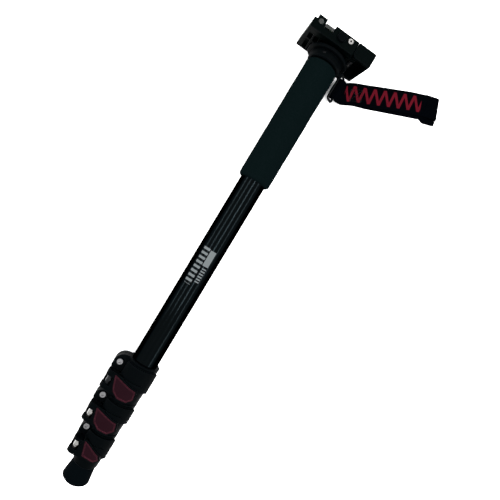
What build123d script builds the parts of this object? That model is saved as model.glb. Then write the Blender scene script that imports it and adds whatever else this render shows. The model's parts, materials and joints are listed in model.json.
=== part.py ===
"""Four-section camera monopod with flip locks and a quick-release head, folded and lying down.

Millimetres. The tube axis is X, with the head at +X, and +Z points up from the surface that the
monopod lies on. The origin is on the tube axis, at the seat that the camera rests on.
"""
from build123d import *
from math import acos, atan2, cos, degrees, radians, sin, sqrt
import os

os.makedirs("parts", exist_ok=True)

# Clearances and fits shared by all pieces
moving_gap = 0.3
bore_fit = 0.05
seat_fit = 0.02
overrun = 60.0
quarter_turn = 90.0
hexagon_sides = 6
square_sides = 4

# Tubes, from the widest to the narrowest
tube_diameters = [28.0, 25.0, 22.0, 19.0]
tube_wall = 1.0
tube_radii = [diameter / 2 for diameter in tube_diameters]
tube_bores = [radius - tube_wall for radius in tube_radii]
bare_tube_length = 219.5
tube_top_stagger = 2.0
guide_height = 18.0
guide_lip = 1.6

# Head, stacked down from the camera seat
pad_thickness = 1.0
plate_proud = 0.5
platform_height = 15.0
platform_depth = 46.0
boss_height = 4.0
boss_radius = 15.0
flange_thickness = 3.5
flange_radius = 23.0
flange_edge = 1.0
neck_height = 7.8
neck_radius = 18.5
neck_edge = 1.2

# Grip and foot
grip_gap = 0.7
grip_length = 141.0
grip_radius = 17.7
grip_round = 3.5
foot_height = 23.0
foot_neck_radius = 12.2
foot_flare_radius = 14.7
foot_flare_height = 4.8
foot_rim_round = 0.8
foot_pad_radius = 5.0
foot_socket_floor = 9.0

# Flip locks, from the widest tube to the narrowest
lock_heights = [42.3, 36.3, 41.7]
lock_gap = 0.5
collar_top_radii = [17.4, 16.0, 15.0]
collar_base_radii = [15.9, 14.8, 13.4]
collar_edge = 0.8
lower_half_heights = [23.7, 23.2, 28.0]
relief_slit = 1.0
relief_bridge = 9.0
split_width = 1.5
shield_base = 17.0
shield_left_angle = 50.0
shield_right_angle = 58.0
shield_top_drop = 3.0
ear_reaches = [28.8, 27.8, 23.3]
ear_top_gap = 0.3
ear_half_thickness = 6.5
ear_corner_share = 0.62
ear_base_corner = 2.5
clamp_screw_heights = [32.8, 31.5, 37.3]
clamp_screw_reaches = [22.4, 20.0, 17.6]
clamp_shank_radius = 1.9
clamp_head_radius = 3.0
clamp_head_height = 2.0
clamp_head_sink = 0.8
nut_radius = 3.6
nut_height = 2.6
hole_fit = 0.15
liner_slot = 3.0
lug_inset = 1.0
lug_half_thickness = 5.5
lug_margin = 5.2
lug_corner = 2.5

# Flip levers
pivot_reaches = [22.8, 21.7, 17.5]
pivot_rise = 9.0
knuckle_radius = 5.8
cam_throw = 0.4
knuckle_bases = [3.7, 3.4, 11.7]
knuckle_tops = [23.6, 22.7, 28.3]
lever_height = 26.0
knuckle_end_wall = 1.6
cam_bolt_heights = [13.2, 11.8, 21.1]
cam_slot_width = 9.2
barrel_radius = 2.9
cam_bolt_radius = 1.9
lever_thickness = 3.0
lever_under_gap = 0.6
lever_margin = 1.7
lever_sweep_angle = 54.0
insert_depth = 0.9
insert_proud = 0.5
insert_rim = 1.1
insert_sink = 0.35
insert_round = 0.7
shield_edge_gap = 0.8

# Plan outline of the insert in each lever. Each row is a share of the lever's height above the
# lock's base and a share of the pivot's reach from the tube axis.
wide_insert_shares = [
    (0.86, 0.86), (0.66, -0.27), (0.34, -0.36), (0.15, -0.13), (0.13, 0.32), (0.28, 0.60), (0.41, 0.69),
]
middle_insert_shares = [
    (0.82, 0.86), (0.62, -0.28), (0.31, -0.38), (0.13, -0.13), (0.12, 0.34), (0.27, 0.63), (0.40, 0.72),
]
narrow_insert_shares = [
    (1.14, 0.66), (1.04, 0.30), (0.78, -0.40), (0.58, -0.55), (0.50, -0.34), (0.56, 0.41),
]
insert_shares = [wide_insert_shares, middle_insert_shares, narrow_insert_shares]
knuckle_edge_share = 0.47

# Platform
rail_height = 8.0
body_end_reach = 18.4
left_block_inner = 20.5
left_block_outer = 30.4
left_end_reach = 32.4
left_flange_reach = 33.5
left_back_reach = 36.0
left_flange_drop = 4.8
front_wall = 8.0
level_recess_inner = 10.0
level_recess_depth = 9.0
level_back_wall = 1.2
level_back_drop = 1.8
underside_wall = 2.2
underside_depth = 4.6
underside_rib = 1.6
platform_corner = 1.5

# Level vials
vial_radius = 2.8
vial_length = 9.6
vial_drop = 4.4
end_vial_radius = 2.6
end_vial_length = 7.0
end_vial_reach = 25.6
end_vial_drop = 5.2

# Safety button and rivet on the front face
button_radius = 4.7
button_drop = 6.6
button_proud = 3.0
button_depth = 3.4
button_round = 0.8
button_well_floor = 0.9
button_spring_radius = 3.2
button_spring_wire = 0.5
button_spring_turns = 4
rivet_reach = -9.8
rivet_drop = 4.4
rivet_head_radius = 2.8
rivet_head_height = 0.9
rivet_shank_radius = 2.0
rivet_bore_radius = 1.0
rivet_length = 5.0
rivet_edge = 0.3

# Release lever
lever_seam = 18.7
paddle_reach = 39.7
paddle_back_reach = 36.5
paddle_proud = 0.3
paddle_round = 2.0
paddle_wall = 2.0
paddle_cheek = 3.0
paddle_top_wall = 2.8
release_pin_radius = 1.5
release_pin_inset = 3.8
release_lug_radius = 2.9
release_lug_width = 5.0
release_lug_reach = 12.5
release_spring_radius = 2.4
release_spring_wire = 0.5
release_spring_turns = 4

# Quick-release plate and camera screw
plate_half_width = 18.2
plate_waist_inset = 2.0
plate_foot_height = 2.4
plate_neck_height = 6.2
plate_front = 14.5
plate_back = 22.5
plate_corner = 2.5
pad_rib_depth = 0.4
pad_groove_count = 7
screw_radius = 3.175
screw_neck_radius = 2.6
screw_rise = 5.6
screw_point = 0.6
screw_head_radius = 7.0
screw_head_height = 2.6
screw_head_well = 7.6
screw_slot_width = 1.6
screw_slot_depth = 1.4
clip_radius = 5.2
clip_thickness = 0.6
clip_opening = 3.6
clip_drop = 0.1

# Head stud, plug and neck screw
stud_radius = 4.7625
stud_into_platform = 5.0
stud_into_plug = 18.0
plug_height = 24.0
set_screw_radius = 1.6
set_screw_length = 3.4
set_screw_socket = 0.8
set_screw_socket_depth = 1.4
set_screw_angle = 23.0
set_screw_height = 5.6

# Strap ring and wrist strap
ring_wire = 2.4
ring_pivot_reach = 21.2
ring_length = 29.0
ring_width = 10.4
ring_corner = 1.9
ring_tilt = 50.0
ring_leg_gap = 0.8
ring_lug_height = 4.0
ring_lug_wall = 1.3
webbing_width = 24.6
webbing_thickness = 1.4
strap_floor_gap = 0.1
strap_straight_run = 5.8
strap_lead_run = 22.0
strap_lead_turn = 40.0
strap_long_run = 100.0
strap_plan_turn = 23.2
strap_plan_round = 14.0
strap_drop_run = 15.0
strap_drop_round = 9.0
strap_loop_height = 6.4

# Stations along the tube axis, worked out from the seat down
platform_top = -(pad_thickness + plate_proud)
platform_base = platform_top - platform_height
flange_top = platform_base - boss_height
flange_base = flange_top - flange_thickness
neck_base = flange_base - neck_height
grip_top = neck_base - grip_gap
grip_base = grip_top - grip_length
lock_tops = [grip_base - bare_tube_length]
lock_bases = [lock_tops[0] - lock_heights[0]]
for height in lock_heights[1:]:
    lock_tops.append(lock_bases[-1] - lock_gap)
    lock_bases.append(lock_tops[-1] - height)
foot_top = lock_bases[-1] - lock_gap
foot_tip = foot_top - foot_height
tube_tops = [flange_base - seat_fit]
plug_base = flange_base - plug_height
for order in (1, 2, 3):
    tube_tops.append(plug_base - order * tube_top_stagger)
clamp_bases = [base + half + relief_slit for base, half in zip(lock_bases, lower_half_heights)]
tube_bases = [base + relief_slit for base in clamp_bases]
tube_bases.append(foot_tip + foot_socket_floor)
rest_z = -platform_depth / 2
front_z = platform_depth / 2


def write(builder, name):
    """Labels a finished piece and writes it under its node's name."""
    builder.part.label = name
    export_step(builder.part, f"parts/{name}.step")


def turned(outline):
    """Revolves an outline of (station, radius) points about the tube axis."""
    with BuildSketch(Plane.XY) as face:
        with BuildLine():
            Polyline(*outline, close=True)
        make_face()
    revolve(face.sketch, axis=Axis.X)


def tube_bore(radius, start, end, mode=Mode.SUBTRACT):
    """A cylinder on the tube axis from one station to another."""
    with BuildSketch(Plane.YZ.offset(start)) as face:
        Circle(radius)
    extrude(face.sketch, amount=end - start, mode=mode)


def prism(corners, low, high, mode=Mode.ADD):
    """A plan outline of (x, y) corners carried from one height to another."""
    with BuildSketch(Plane.XY.offset(low)) as face:
        with BuildLine():
            Polyline(*corners, close=True)
        make_face()
    extrude(face.sketch, amount=high - low, mode=mode)


def block(x_range, y_range, z_range, mode=Mode.ADD):
    """A rectangular block between the given limits."""
    corners = [
        (x_range[0], y_range[0]), (x_range[1], y_range[0]),
        (x_range[1], y_range[1]), (x_range[0], y_range[1]),
    ]
    prism(corners, z_range[0], z_range[1], mode)


def leaning_block(x_range, inner_y, front_y, back_y, z_range, mode=Mode.ADD):
    """A block whose outer end leans from one reach at the front to another at the back."""
    with BuildSketch(Plane.YZ.offset(x_range[0])) as face:
        with BuildLine():
            Polyline(
                (inner_y, z_range[0]), (back_y, z_range[0]), (front_y, z_range[1]), (inner_y, z_range[1]),
                close=True,
            )
        make_face()
    extrude(face.sketch, amount=x_range[1] - x_range[0], mode=mode)


def upright_pin(x, y, radius, low, high, mode=Mode.ADD):
    """A round pin or hole along Z."""
    with BuildSketch(Plane.XY.offset(low)) as face:
        with Locations((x, y)):
            Circle(radius)
    extrude(face.sketch, amount=high - low, mode=mode)


def axial_pin(y, z, radius, start, end, mode=Mode.ADD):
    """A round pin or hole along X."""
    with BuildSketch(Plane.YZ.offset(start)) as face:
        with Locations((y, z)):
            Circle(radius)
    extrude(face.sketch, amount=end - start, mode=mode)


def polar(radius, angle):
    """A point of the cross-section, its angle in degrees from +Z towards +Y."""
    return (radius * sin(radians(angle)), radius * cos(radians(angle)))


# Tubes with their guides and plugs
for index in range(4):
    number = index + 1
    node = "upper_tube" if index == 0 else f"tube_{number}"
    with BuildPart() as tube:
        tube_bore(tube_radii[index], tube_bases[index], tube_tops[index], Mode.ADD)
        tube_bore(tube_bores[index], tube_bases[index], tube_tops[index])
    write(tube, node)
    if index:
        guide_outer = tube_bores[index - 1] - bore_fit
        guide_inner = tube_radii[index] + seat_fit
        lip_inner = tube_bores[index]
        top = tube_tops[index]
        with BuildPart() as guide:
            turned([
                (top - guide_height, guide_inner), (top - guide_height, guide_outer),
                (top + guide_lip, guide_outer), (top + guide_lip, lip_inner),
                (top + seat_fit, lip_inner), (top + seat_fit, guide_inner),
            ])
        write(guide, f"tube_{number}_guide")

with BuildPart() as tube_top_plug:
    tube_bore(tube_bores[0] - seat_fit, plug_base, flange_base - seat_fit, Mode.ADD)
    tube_bore(stud_radius + seat_fit, flange_base - stud_into_plug, flange_base)
write(tube_top_plug, "tube_top_plug")

with BuildPart() as head_stud:
    stud_base = flange_base - stud_into_plug + seat_fit
    stud_top = platform_base + stud_into_platform
    tube_bore(stud_radius, stud_base, stud_top, Mode.ADD)
    chamfer(head_stud.edges().filter_by(GeomType.CIRCLE), length=flange_edge / 2)
write(head_stud, "head_stud")

with BuildPart() as foot_plug:
    plug_floor = tube_bases[3]
    tube_bore(tube_bores[3] - seat_fit, plug_floor, plug_floor + foot_height, Mode.ADD)
    tube_bore(tube_bores[3] - 2 * tube_wall, plug_floor + tube_wall, plug_floor + foot_height)
write(foot_plug, "foot_plug")

# Rubber foot: a shallow sole, a rim and a straight taper up to the last lock
with BuildPart() as rubber_foot:
    with BuildSketch(Plane.XY):
        with BuildLine():
            Line((foot_tip, 0), (foot_tip, foot_pad_radius))
            Spline(
                (foot_tip, foot_pad_radius),
                (foot_tip + foot_flare_height, foot_flare_radius),
                tangents=[(0, 1), (1, 1)],
            )
            Line((foot_tip + foot_flare_height, foot_flare_radius), (foot_top, foot_neck_radius))
            Line((foot_top, foot_neck_radius), (foot_top, 0))
            Line((foot_top, 0), (foot_tip, 0))
        make_face()
        fillet(vertices().sort_by(Axis.Y)[-1], radius=foot_rim_round)
    revolve(axis=Axis.X)
    tube_bore(tube_radii[3] + seat_fit, tube_bases[3] - seat_fit, foot_top)
write(rubber_foot, "rubber_foot")

# Foam grip
with BuildPart() as foam_grip:
    tube_bore(grip_radius, grip_base, grip_top, Mode.ADD)
    fillet(foam_grip.edges().filter_by(GeomType.CIRCLE), radius=grip_round)
    tube_bore(tube_radii[0] + bore_fit, grip_base, grip_top)
write(foam_grip, "foam_grip")

# Neck collar with the barrel lug for the strap ring
lug_top_station = neck_base + ring_lug_height
lug_radius = ring_wire / 2 + ring_lug_wall
with BuildPart() as neck_collar:
    turned([
        (neck_base, 0), (neck_base, neck_radius - neck_edge), (neck_base + neck_edge, neck_radius),
        (flange_base - seat_fit, neck_radius), (flange_base - seat_fit, 0),
    ])
    axial_pin(-ring_pivot_reach, 0, lug_radius, neck_base, lug_top_station)
    block((neck_base, lug_top_station), (-ring_pivot_reach, -tube_radii[0]), (-lug_radius, lug_radius))
    axial_pin(-ring_pivot_reach, 0, ring_wire / 2 + bore_fit, neck_base, lug_top_station, Mode.SUBTRACT)
    tube_bore(tube_radii[0] + bore_fit, neck_base, flange_base)
    screw_direction = Plane(
        origin=(neck_base + set_screw_height, 0, 0),
        x_dir=(1, 0, 0),
        z_dir=(0, sin(radians(set_screw_angle)), cos(radians(set_screw_angle))),
    )
    with BuildSketch(screw_direction.offset(tube_radii[0])):
        Circle(set_screw_radius + seat_fit)
    extrude(amount=neck_radius, mode=Mode.SUBTRACT)
write(neck_collar, "neck_collar")

with BuildPart() as neck_set_screw:
    with BuildSketch(screw_direction.offset(tube_radii[0] + bore_fit)):
        Circle(set_screw_radius)
    extrude(amount=set_screw_length)
    with BuildSketch(screw_direction.offset(tube_radii[0] + set_screw_length + bore_fit)):
        RegularPolygon(radius=set_screw_socket, side_count=hexagon_sides)
    extrude(amount=-set_screw_socket_depth, mode=Mode.SUBTRACT)
write(neck_set_screw, "neck_set_screw")

with BuildPart() as neck_flange:
    tube_bore(flange_radius, flange_base, flange_top, Mode.ADD)
    fillet(neck_flange.edges().filter_by(GeomType.CIRCLE), radius=flange_edge)
    tube_bore(stud_radius + seat_fit, flange_base, flange_top)
write(neck_flange, "neck_flange")

# Platform: channel for the plate, level housing, front wall and hollow underside
channel_floor = platform_top - rail_height
wall_inner_z = front_z - front_wall
plate_top = platform_top + plate_proud
plate_base = channel_floor + moving_gap
pin_x = platform_base + release_pin_inset
pin_y = -(lever_seam + release_pin_inset)
lug_centres = [-release_lug_reach, release_lug_reach]
recess_back_z = wall_inner_z + level_back_wall
with BuildPart() as platform:
    block((platform_base, platform_top), (-body_end_reach, left_end_reach), (rest_z, front_z))
    fillet(platform.edges().filter_by(Axis.X), radius=platform_corner)
    leaning_block(
        (platform_base, platform_top - left_flange_drop),
        left_block_outer, left_flange_reach, left_back_reach, (rest_z, front_z),
    )
    # The left end steps down beside the raised block
    block(
        (platform_top - left_flange_drop, platform_top + overrun),
        (left_block_outer, left_flange_reach + overrun),
        (rest_z - overrun, front_z + overrun),
        Mode.SUBTRACT,
    )
    # Channel with an undercut rail on the left, open at the back
    rail_face = plate_half_width + moving_gap
    rail_lip = rail_face - plate_waist_inset
    channel_profile = [
        (channel_floor, -body_end_reach - overrun), (channel_floor, rail_face),
        (channel_floor + plate_foot_height + moving_gap, rail_face),
        (channel_floor + plate_neck_height + moving_gap, rail_lip),
        (platform_top + overrun, rail_lip), (platform_top + overrun, -body_end_reach - overrun),
    ]
    prism(channel_profile, rest_z - overrun, wall_inner_z, Mode.SUBTRACT)
    # Front recess for the long level vial, with a low wall behind it
    block(
        (platform_top - level_recess_depth, platform_top + overrun),
        (level_recess_inner, left_block_inner),
        (recess_back_z, front_z + overrun),
        Mode.SUBTRACT,
    )
    block(
        (platform_top - level_back_drop, platform_top + overrun),
        (level_recess_inner, left_block_inner),
        (wall_inner_z - moving_gap, front_z + overrun),
        Mode.SUBTRACT,
    )
    # Hollow underside with a round boss and cross ribs
    inner_low_y = -body_end_reach + underside_wall
    inner_high_y = left_end_reach - underside_wall
    inner_z = front_z - underside_wall
    block(
        (platform_base, platform_base + underside_depth),
        (inner_low_y, inner_high_y),
        (-inner_z, wall_inner_z - underside_wall),
        Mode.SUBTRACT,
    )
    tube_bore(boss_radius, flange_top + seat_fit, platform_base + underside_depth, Mode.ADD)
    for rib_y in (boss_radius + underside_rib, left_block_inner + underside_rib * 2):
        block(
            (platform_base, platform_base + underside_depth),
            (rib_y, rib_y + underside_rib),
            (-inner_z, wall_inner_z - underside_wall),
        )
    block(
        (platform_base, platform_base + underside_depth),
        (inner_low_y, inner_high_y),
        (-underside_rib / 2, underside_rib / 2),
    )
    tube_bore(stud_radius + seat_fit, flange_top, platform_base + stud_into_platform + seat_fit)
    # Well for the button, hole for the rivet and bore for the end vial, all from the front
    button_x = platform_top - button_drop
    upright_pin(
        button_x, 0, button_radius + 2 * bore_fit, wall_inner_z + button_well_floor, front_z, Mode.SUBTRACT
    )
    rivet_x = platform_top - rivet_drop
    upright_pin(
        rivet_x, rivet_reach, rivet_shank_radius + seat_fit, front_z - rivet_length, front_z, Mode.SUBTRACT
    )
    end_vial_x = platform_top - end_vial_drop
    upright_pin(
        end_vial_x, end_vial_reach, end_vial_radius + seat_fit, front_z - end_vial_length, front_z,
        Mode.SUBTRACT,
    )
    # Hinge lugs for the release lever
    for lug_z in lug_centres:
        low = lug_z - release_lug_width / 2
        high = lug_z + release_lug_width / 2
        upright_pin(pin_x, pin_y, release_lug_radius, low, high)
        block(
            (pin_x - release_lug_radius, pin_x + release_lug_radius),
            (pin_y, -body_end_reach + underside_wall / 2),
            (low, high),
        )
        upright_pin(pin_x, pin_y, release_pin_radius + seat_fit, low, high, Mode.SUBTRACT)
write(platform, "platform")

with BuildPart() as level_vial_long:
    vial_y = (level_recess_inner + left_block_inner) / 2
    vial_z = recess_back_z + vial_radius + bore_fit
    with BuildSketch(Plane.XZ.offset(-(vial_y - vial_length / 2))):
        with Locations((platform_top - vial_drop, vial_z)):
            Circle(vial_radius)
    extrude(amount=-vial_length)
write(level_vial_long, "level_vial_long")

with BuildPart() as level_vial_end:
    upright_pin(
        end_vial_x, end_vial_reach, end_vial_radius, front_z - end_vial_length + seat_fit, front_z - seat_fit
    )
write(level_vial_end, "level_vial_end")

with BuildPart() as safety_button:
    upright_pin(button_x, 0, button_radius, front_z - button_depth, front_z + button_proud)
    fillet(safety_button.edges().filter_by(GeomType.CIRCLE).sort_by(Axis.Z)[-1], radius=button_round)
write(safety_button, "safety_button")

spring_floor = wall_inner_z + button_well_floor + moving_gap + button_spring_wire / 2
spring_ceiling = front_z - button_depth - moving_gap - button_spring_wire / 2
with BuildPart() as button_spring:
    with BuildLine():
        Helix(
            pitch=(spring_ceiling - spring_floor) / button_spring_turns,
            height=spring_ceiling - spring_floor,
            radius=button_spring_radius,
            center=(button_x, 0, spring_floor),
        )
    with BuildSketch(Plane(
        origin=(button_x + button_spring_radius, 0, spring_floor), z_dir=(0, 1, 0), x_dir=(1, 0, 0)
    )):
        RegularPolygon(radius=button_spring_wire / 2, side_count=square_sides)
    sweep(is_frenet=True)
write(button_spring, "button_spring")

with BuildPart() as latch_rivet:
    rivet_base = front_z - rivet_length + seat_fit
    upright_pin(rivet_x, rivet_reach, rivet_shank_radius, rivet_base, front_z + seat_fit)
    upright_pin(rivet_x, rivet_reach, rivet_head_radius, front_z + seat_fit, front_z + rivet_head_height)
    chamfer(
        latch_rivet.edges().filter_by(GeomType.CIRCLE).sort_by(Axis.Z)[-1], length=rivet_edge
    )
    upright_pin(
        rivet_x, rivet_reach, rivet_bore_radius, front_z - rivet_length, front_z + overrun, Mode.SUBTRACT
    )
write(latch_rivet, "latch_rivet")

# Release lever: a hollow paddle whose upper lip holds the plate, hinged low beside the body
with BuildPart() as release_lever:
    seam_y = -lever_seam
    top_x = platform_top + paddle_proud
    with BuildSketch(Plane.XY.offset(rest_z)):
        with BuildLine():
            Line((top_x, seam_y), (pin_x, seam_y))
            CenterArc((pin_x, pin_y), release_pin_inset, quarter_turn, quarter_turn)
            Line((platform_base, pin_y), (platform_base, -paddle_reach))
            Line((platform_base, -paddle_reach), (top_x, -paddle_reach))
            Line((top_x, -paddle_reach), (top_x, seam_y))
        make_face()
    extrude(amount=platform_depth)
    leaning_block(
        (-overrun, overrun), overrun, -paddle_reach, -paddle_back_reach, (rest_z, front_z), Mode.INTERSECT
    )
    fillet(release_lever.edges().group_by(Axis.X)[-1].sort_by(Axis.Y)[0], radius=paddle_round)
    # Hollow from below, open towards the body between the end cheeks
    leaning_block(
        (platform_base - overrun, top_x - paddle_top_wall),
        seam_y - paddle_wall, -paddle_reach + paddle_wall, -paddle_back_reach + paddle_wall,
        (rest_z + paddle_cheek, front_z - paddle_cheek),
        Mode.SUBTRACT,
    )
    opening_half = release_lug_reach + release_lug_width / 2 + moving_gap
    block(
        (platform_base - overrun, pin_x + release_lug_radius + 2 * moving_gap),
        (-paddle_back_reach + paddle_wall, seam_y + overrun),
        (-opening_half, opening_half),
        Mode.SUBTRACT,
    )
    # Bevelled lip over the plate's edge, clear of the front wall
    lip_profile = [
        (top_x, seam_y), (top_x, -rail_lip),
        (channel_floor + plate_neck_height + moving_gap, -rail_lip),
        (channel_floor + plate_foot_height + moving_gap, -rail_face),
        (channel_floor + plate_foot_height + moving_gap, seam_y),
    ]
    prism(lip_profile, -plate_back, wall_inner_z - moving_gap)
    pin_half = front_z - paddle_cheek / 2
    upright_pin(pin_x, pin_y, release_pin_radius + bore_fit, -pin_half, pin_half, Mode.SUBTRACT)
write(release_lever, "release_lever")

with BuildPart() as release_pin:
    upright_pin(pin_x, pin_y, release_pin_radius, -pin_half + moving_gap, pin_half - moving_gap)
write(release_pin, "release_pin")

with BuildPart() as release_spring:
    spring_half = release_lug_reach - release_lug_width / 2 - moving_gap - release_spring_wire
    with BuildLine():
        Helix(
            pitch=2 * spring_half / release_spring_turns,
            height=2 * spring_half,
            radius=release_spring_radius,
            center=(pin_x, pin_y, -spring_half),
        )
    with BuildSketch(Plane(
        origin=(pin_x + release_spring_radius, pin_y, -spring_half), z_dir=(0, 1, 0), x_dir=(1, 0, 0)
    )):
        RegularPolygon(radius=release_spring_wire / 2, side_count=square_sides)
    sweep(is_frenet=True)
write(release_spring, "release_spring")

# Quick-release plate: a dovetail with a well for the camera screw
with BuildPart() as quick_plate:
    waist = plate_half_width - plate_waist_inset
    plate_profile = [
        (plate_base, plate_half_width), (channel_floor + plate_foot_height, plate_half_width),
        (channel_floor + plate_neck_height, waist), (plate_top, waist),
        (plate_top, -waist), (channel_floor + plate_neck_height, -waist),
        (channel_floor + plate_foot_height, -plate_half_width), (plate_base, -plate_half_width),
    ]
    prism(plate_profile, -plate_back, plate_front)
    with BuildSketch(Plane.YZ.offset(plate_base)):
        with Locations((0, (plate_front - plate_back) / 2)):
            RectangleRounded(2 * plate_half_width, plate_front + plate_back, plate_corner)
    extrude(amount=plate_top - plate_base, mode=Mode.INTERSECT)
    tube_bore(screw_radius + bore_fit, plate_base, plate_top)
    tube_bore(screw_head_well, plate_base, plate_base + screw_head_height + 2 * moving_gap)
write(quick_plate, "quick_plate")

with BuildPart() as plate_pad:
    block((plate_top + seat_fit, 0), (-waist, waist), (-plate_back, plate_front))
    fillet(plate_pad.edges().filter_by(Axis.X), radius=plate_corner)
    groove_pitch = (plate_back + plate_front) / (pad_groove_count + 1)
    for groove in range(1, pad_groove_count + 1):
        groove_z = -plate_back + groove * groove_pitch
        block(
            (-pad_rib_depth, overrun),
            (-waist, waist),
            (groove_z - pad_rib_depth / 2, groove_z + pad_rib_depth / 2),
            Mode.SUBTRACT,
        )
    tube_bore(clip_radius + moving_gap, plate_top, 0)
write(plate_pad, "plate_pad")

with BuildPart() as screw_clip:
    clip_top = -clip_drop
    tube_bore(clip_radius, clip_top - clip_thickness, clip_top, Mode.ADD)
    block((-overrun, overrun), (0, overrun), (-clip_opening / 2, clip_opening / 2), Mode.SUBTRACT)
    tube_bore(screw_neck_radius + seat_fit, -overrun, overrun)
write(screw_clip, "screw_clip")

with BuildPart() as camera_screw:
    head_base = plate_base + moving_gap
    head_top = head_base + screw_head_height
    tube_bore(screw_head_radius, head_base, head_top, Mode.ADD)
    tube_bore(screw_neck_radius, head_top, 0, Mode.ADD)
    tube_bore(screw_radius, 0, screw_rise, Mode.ADD)
    chamfer(camera_screw.edges().filter_by(GeomType.CIRCLE).sort_by(Axis.X)[-1], length=screw_point)
    block(
        (head_base - overrun, head_base + screw_slot_depth),
        (-overrun, overrun),
        (-screw_slot_width / 2, screw_slot_width / 2),
        Mode.SUBTRACT,
    )
write(camera_screw, "camera_screw")

# Strap ring: a wire rectangle held by its inner bar in the collar's lug
tilt = radians(ring_tilt)
ring_top = lug_top_station + ring_leg_gap + ring_wire / 2
ring_base = ring_top - ring_length
ring_centre_x = (ring_top + ring_base) / 2
bar_y = -(ring_pivot_reach + ring_width * cos(tilt))
bar_z = -ring_width * sin(tilt)
ring_plane = Plane(
    origin=(ring_centre_x, -ring_pivot_reach - ring_width / 2 * cos(tilt), -ring_width / 2 * sin(tilt)),
    x_dir=(1, 0, 0),
    z_dir=(0, sin(tilt), -cos(tilt)),
)
with BuildSketch(ring_plane) as ring_outline:
    RectangleRounded(ring_length, ring_width, ring_corner)
ring_path = ring_outline.sketch.faces()[0].outer_wire()
with BuildPart() as strap_ring:
    with BuildSketch(Plane(origin=ring_path @ 0, z_dir=ring_path % 0)):
        Circle(ring_wire / 2)
    sweep(path=ring_path)
write(strap_ring, "strap_ring")

# Wrist strap: a doubled band that hangs from the ring and lies along the surface. Its side profile is
# carried across the band and trimmed to the band's plan.
eyelet_outer = ring_wire / 2 + moving_gap + webbing_thickness
run_z = rest_z + strap_floor_gap + webbing_thickness
lead_turn = radians(strap_lead_turn)
turn = radians(strap_plan_turn)
plan_start_y = bar_y + eyelet_outer + strap_plan_round
bend_y = bar_y - strap_straight_run
lead_x = ring_centre_x + strap_lead_run * sin(lead_turn)
lead_y = bend_y - strap_lead_run * cos(lead_turn)
end_x = lead_x + strap_long_run * sin(turn)
end_y = lead_y - strap_long_run * cos(turn)
floor_y = bar_y - strap_drop_run
loop_radius = strap_loop_height / 2
with BuildPart() as wrist_strap:
    with BuildSketch(Plane.YZ.offset(ring_base - overrun)):
        with BuildLine():
            FilletPolyline(
                (bar_y, bar_z), (floor_y, run_z), (end_y + loop_radius, run_z), radius=strap_drop_round
            )
        trace(line_width=2 * webbing_thickness)
        with Locations((bar_y, bar_z)):
            Circle(eyelet_outer)
        with Locations((end_y + loop_radius, rest_z + strap_floor_gap + loop_radius)):
            Circle(loop_radius)
            Circle(loop_radius - webbing_thickness, mode=Mode.SUBTRACT)
        with Locations((bar_y, bar_z)):
            Circle(ring_wire / 2 + moving_gap, mode=Mode.SUBTRACT)
    extrude(amount=ring_length + 4 * overrun)
    with BuildSketch(Plane.XY.offset(rest_z - overrun)):
        with BuildLine():
            FilletPolyline(
                (ring_centre_x, plan_start_y), (ring_centre_x, bend_y), (lead_x, lead_y),
                (end_x + webbing_width * sin(turn), end_y - webbing_width * cos(turn)),
                radius=strap_plan_round,
            )
        trace(line_width=webbing_width)
    extrude(amount=2 * overrun, mode=Mode.INTERSECT)
write(wrist_strap, "wrist_strap")


def beside(centre, radius, angle):
    """A point on a circle about a centre in the cross-section."""
    y, z = polar(radius, angle)
    return (centre[0] + y, centre[1] + z)


def plan_slab(corners, grow, mode, knuckle=None):
    """The insert's plan outline grown by a margin, with the knuckle's part, carried up from the axis."""
    with BuildSketch(Plane.XY) as face:
        with BuildLine():
            Polyline(*corners, close=True)
        make_face()
        offset(amount=-insert_round)
        offset(amount=insert_round + grow)
        if knuckle:
            with BuildLine():
                Polyline(*knuckle, close=True)
            make_face()
    extrude(face.sketch, amount=overrun, mode=mode)


def lever_layer(outer, knuckle, lean, low, high, start):
    """A layer along a lever's outer side, between two offsets from its surface."""
    floor = outer + low
    roof = outer + high
    middle = (lean - lever_sweep_angle) / 2
    floor_end = beside(knuckle, knuckle_radius + low, lean)
    roof_end = beside(knuckle, knuckle_radius + high, lean)
    with BuildSketch(Plane.YZ.offset(start)) as face:
        with BuildLine():
            ThreePointArc(polar(floor, -lever_sweep_angle), polar(floor, middle), polar(floor, lean))
            Line(polar(floor, lean), floor_end)
            Line(floor_end, roof_end)
            Line(roof_end, polar(roof, lean))
            ThreePointArc(polar(roof, lean), polar(roof, middle), polar(roof, -lever_sweep_angle))
            Line(polar(roof, -lever_sweep_angle), polar(floor, -lever_sweep_angle))
        make_face()
    extrude(face.sketch, amount=2 * lever_height)


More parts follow.
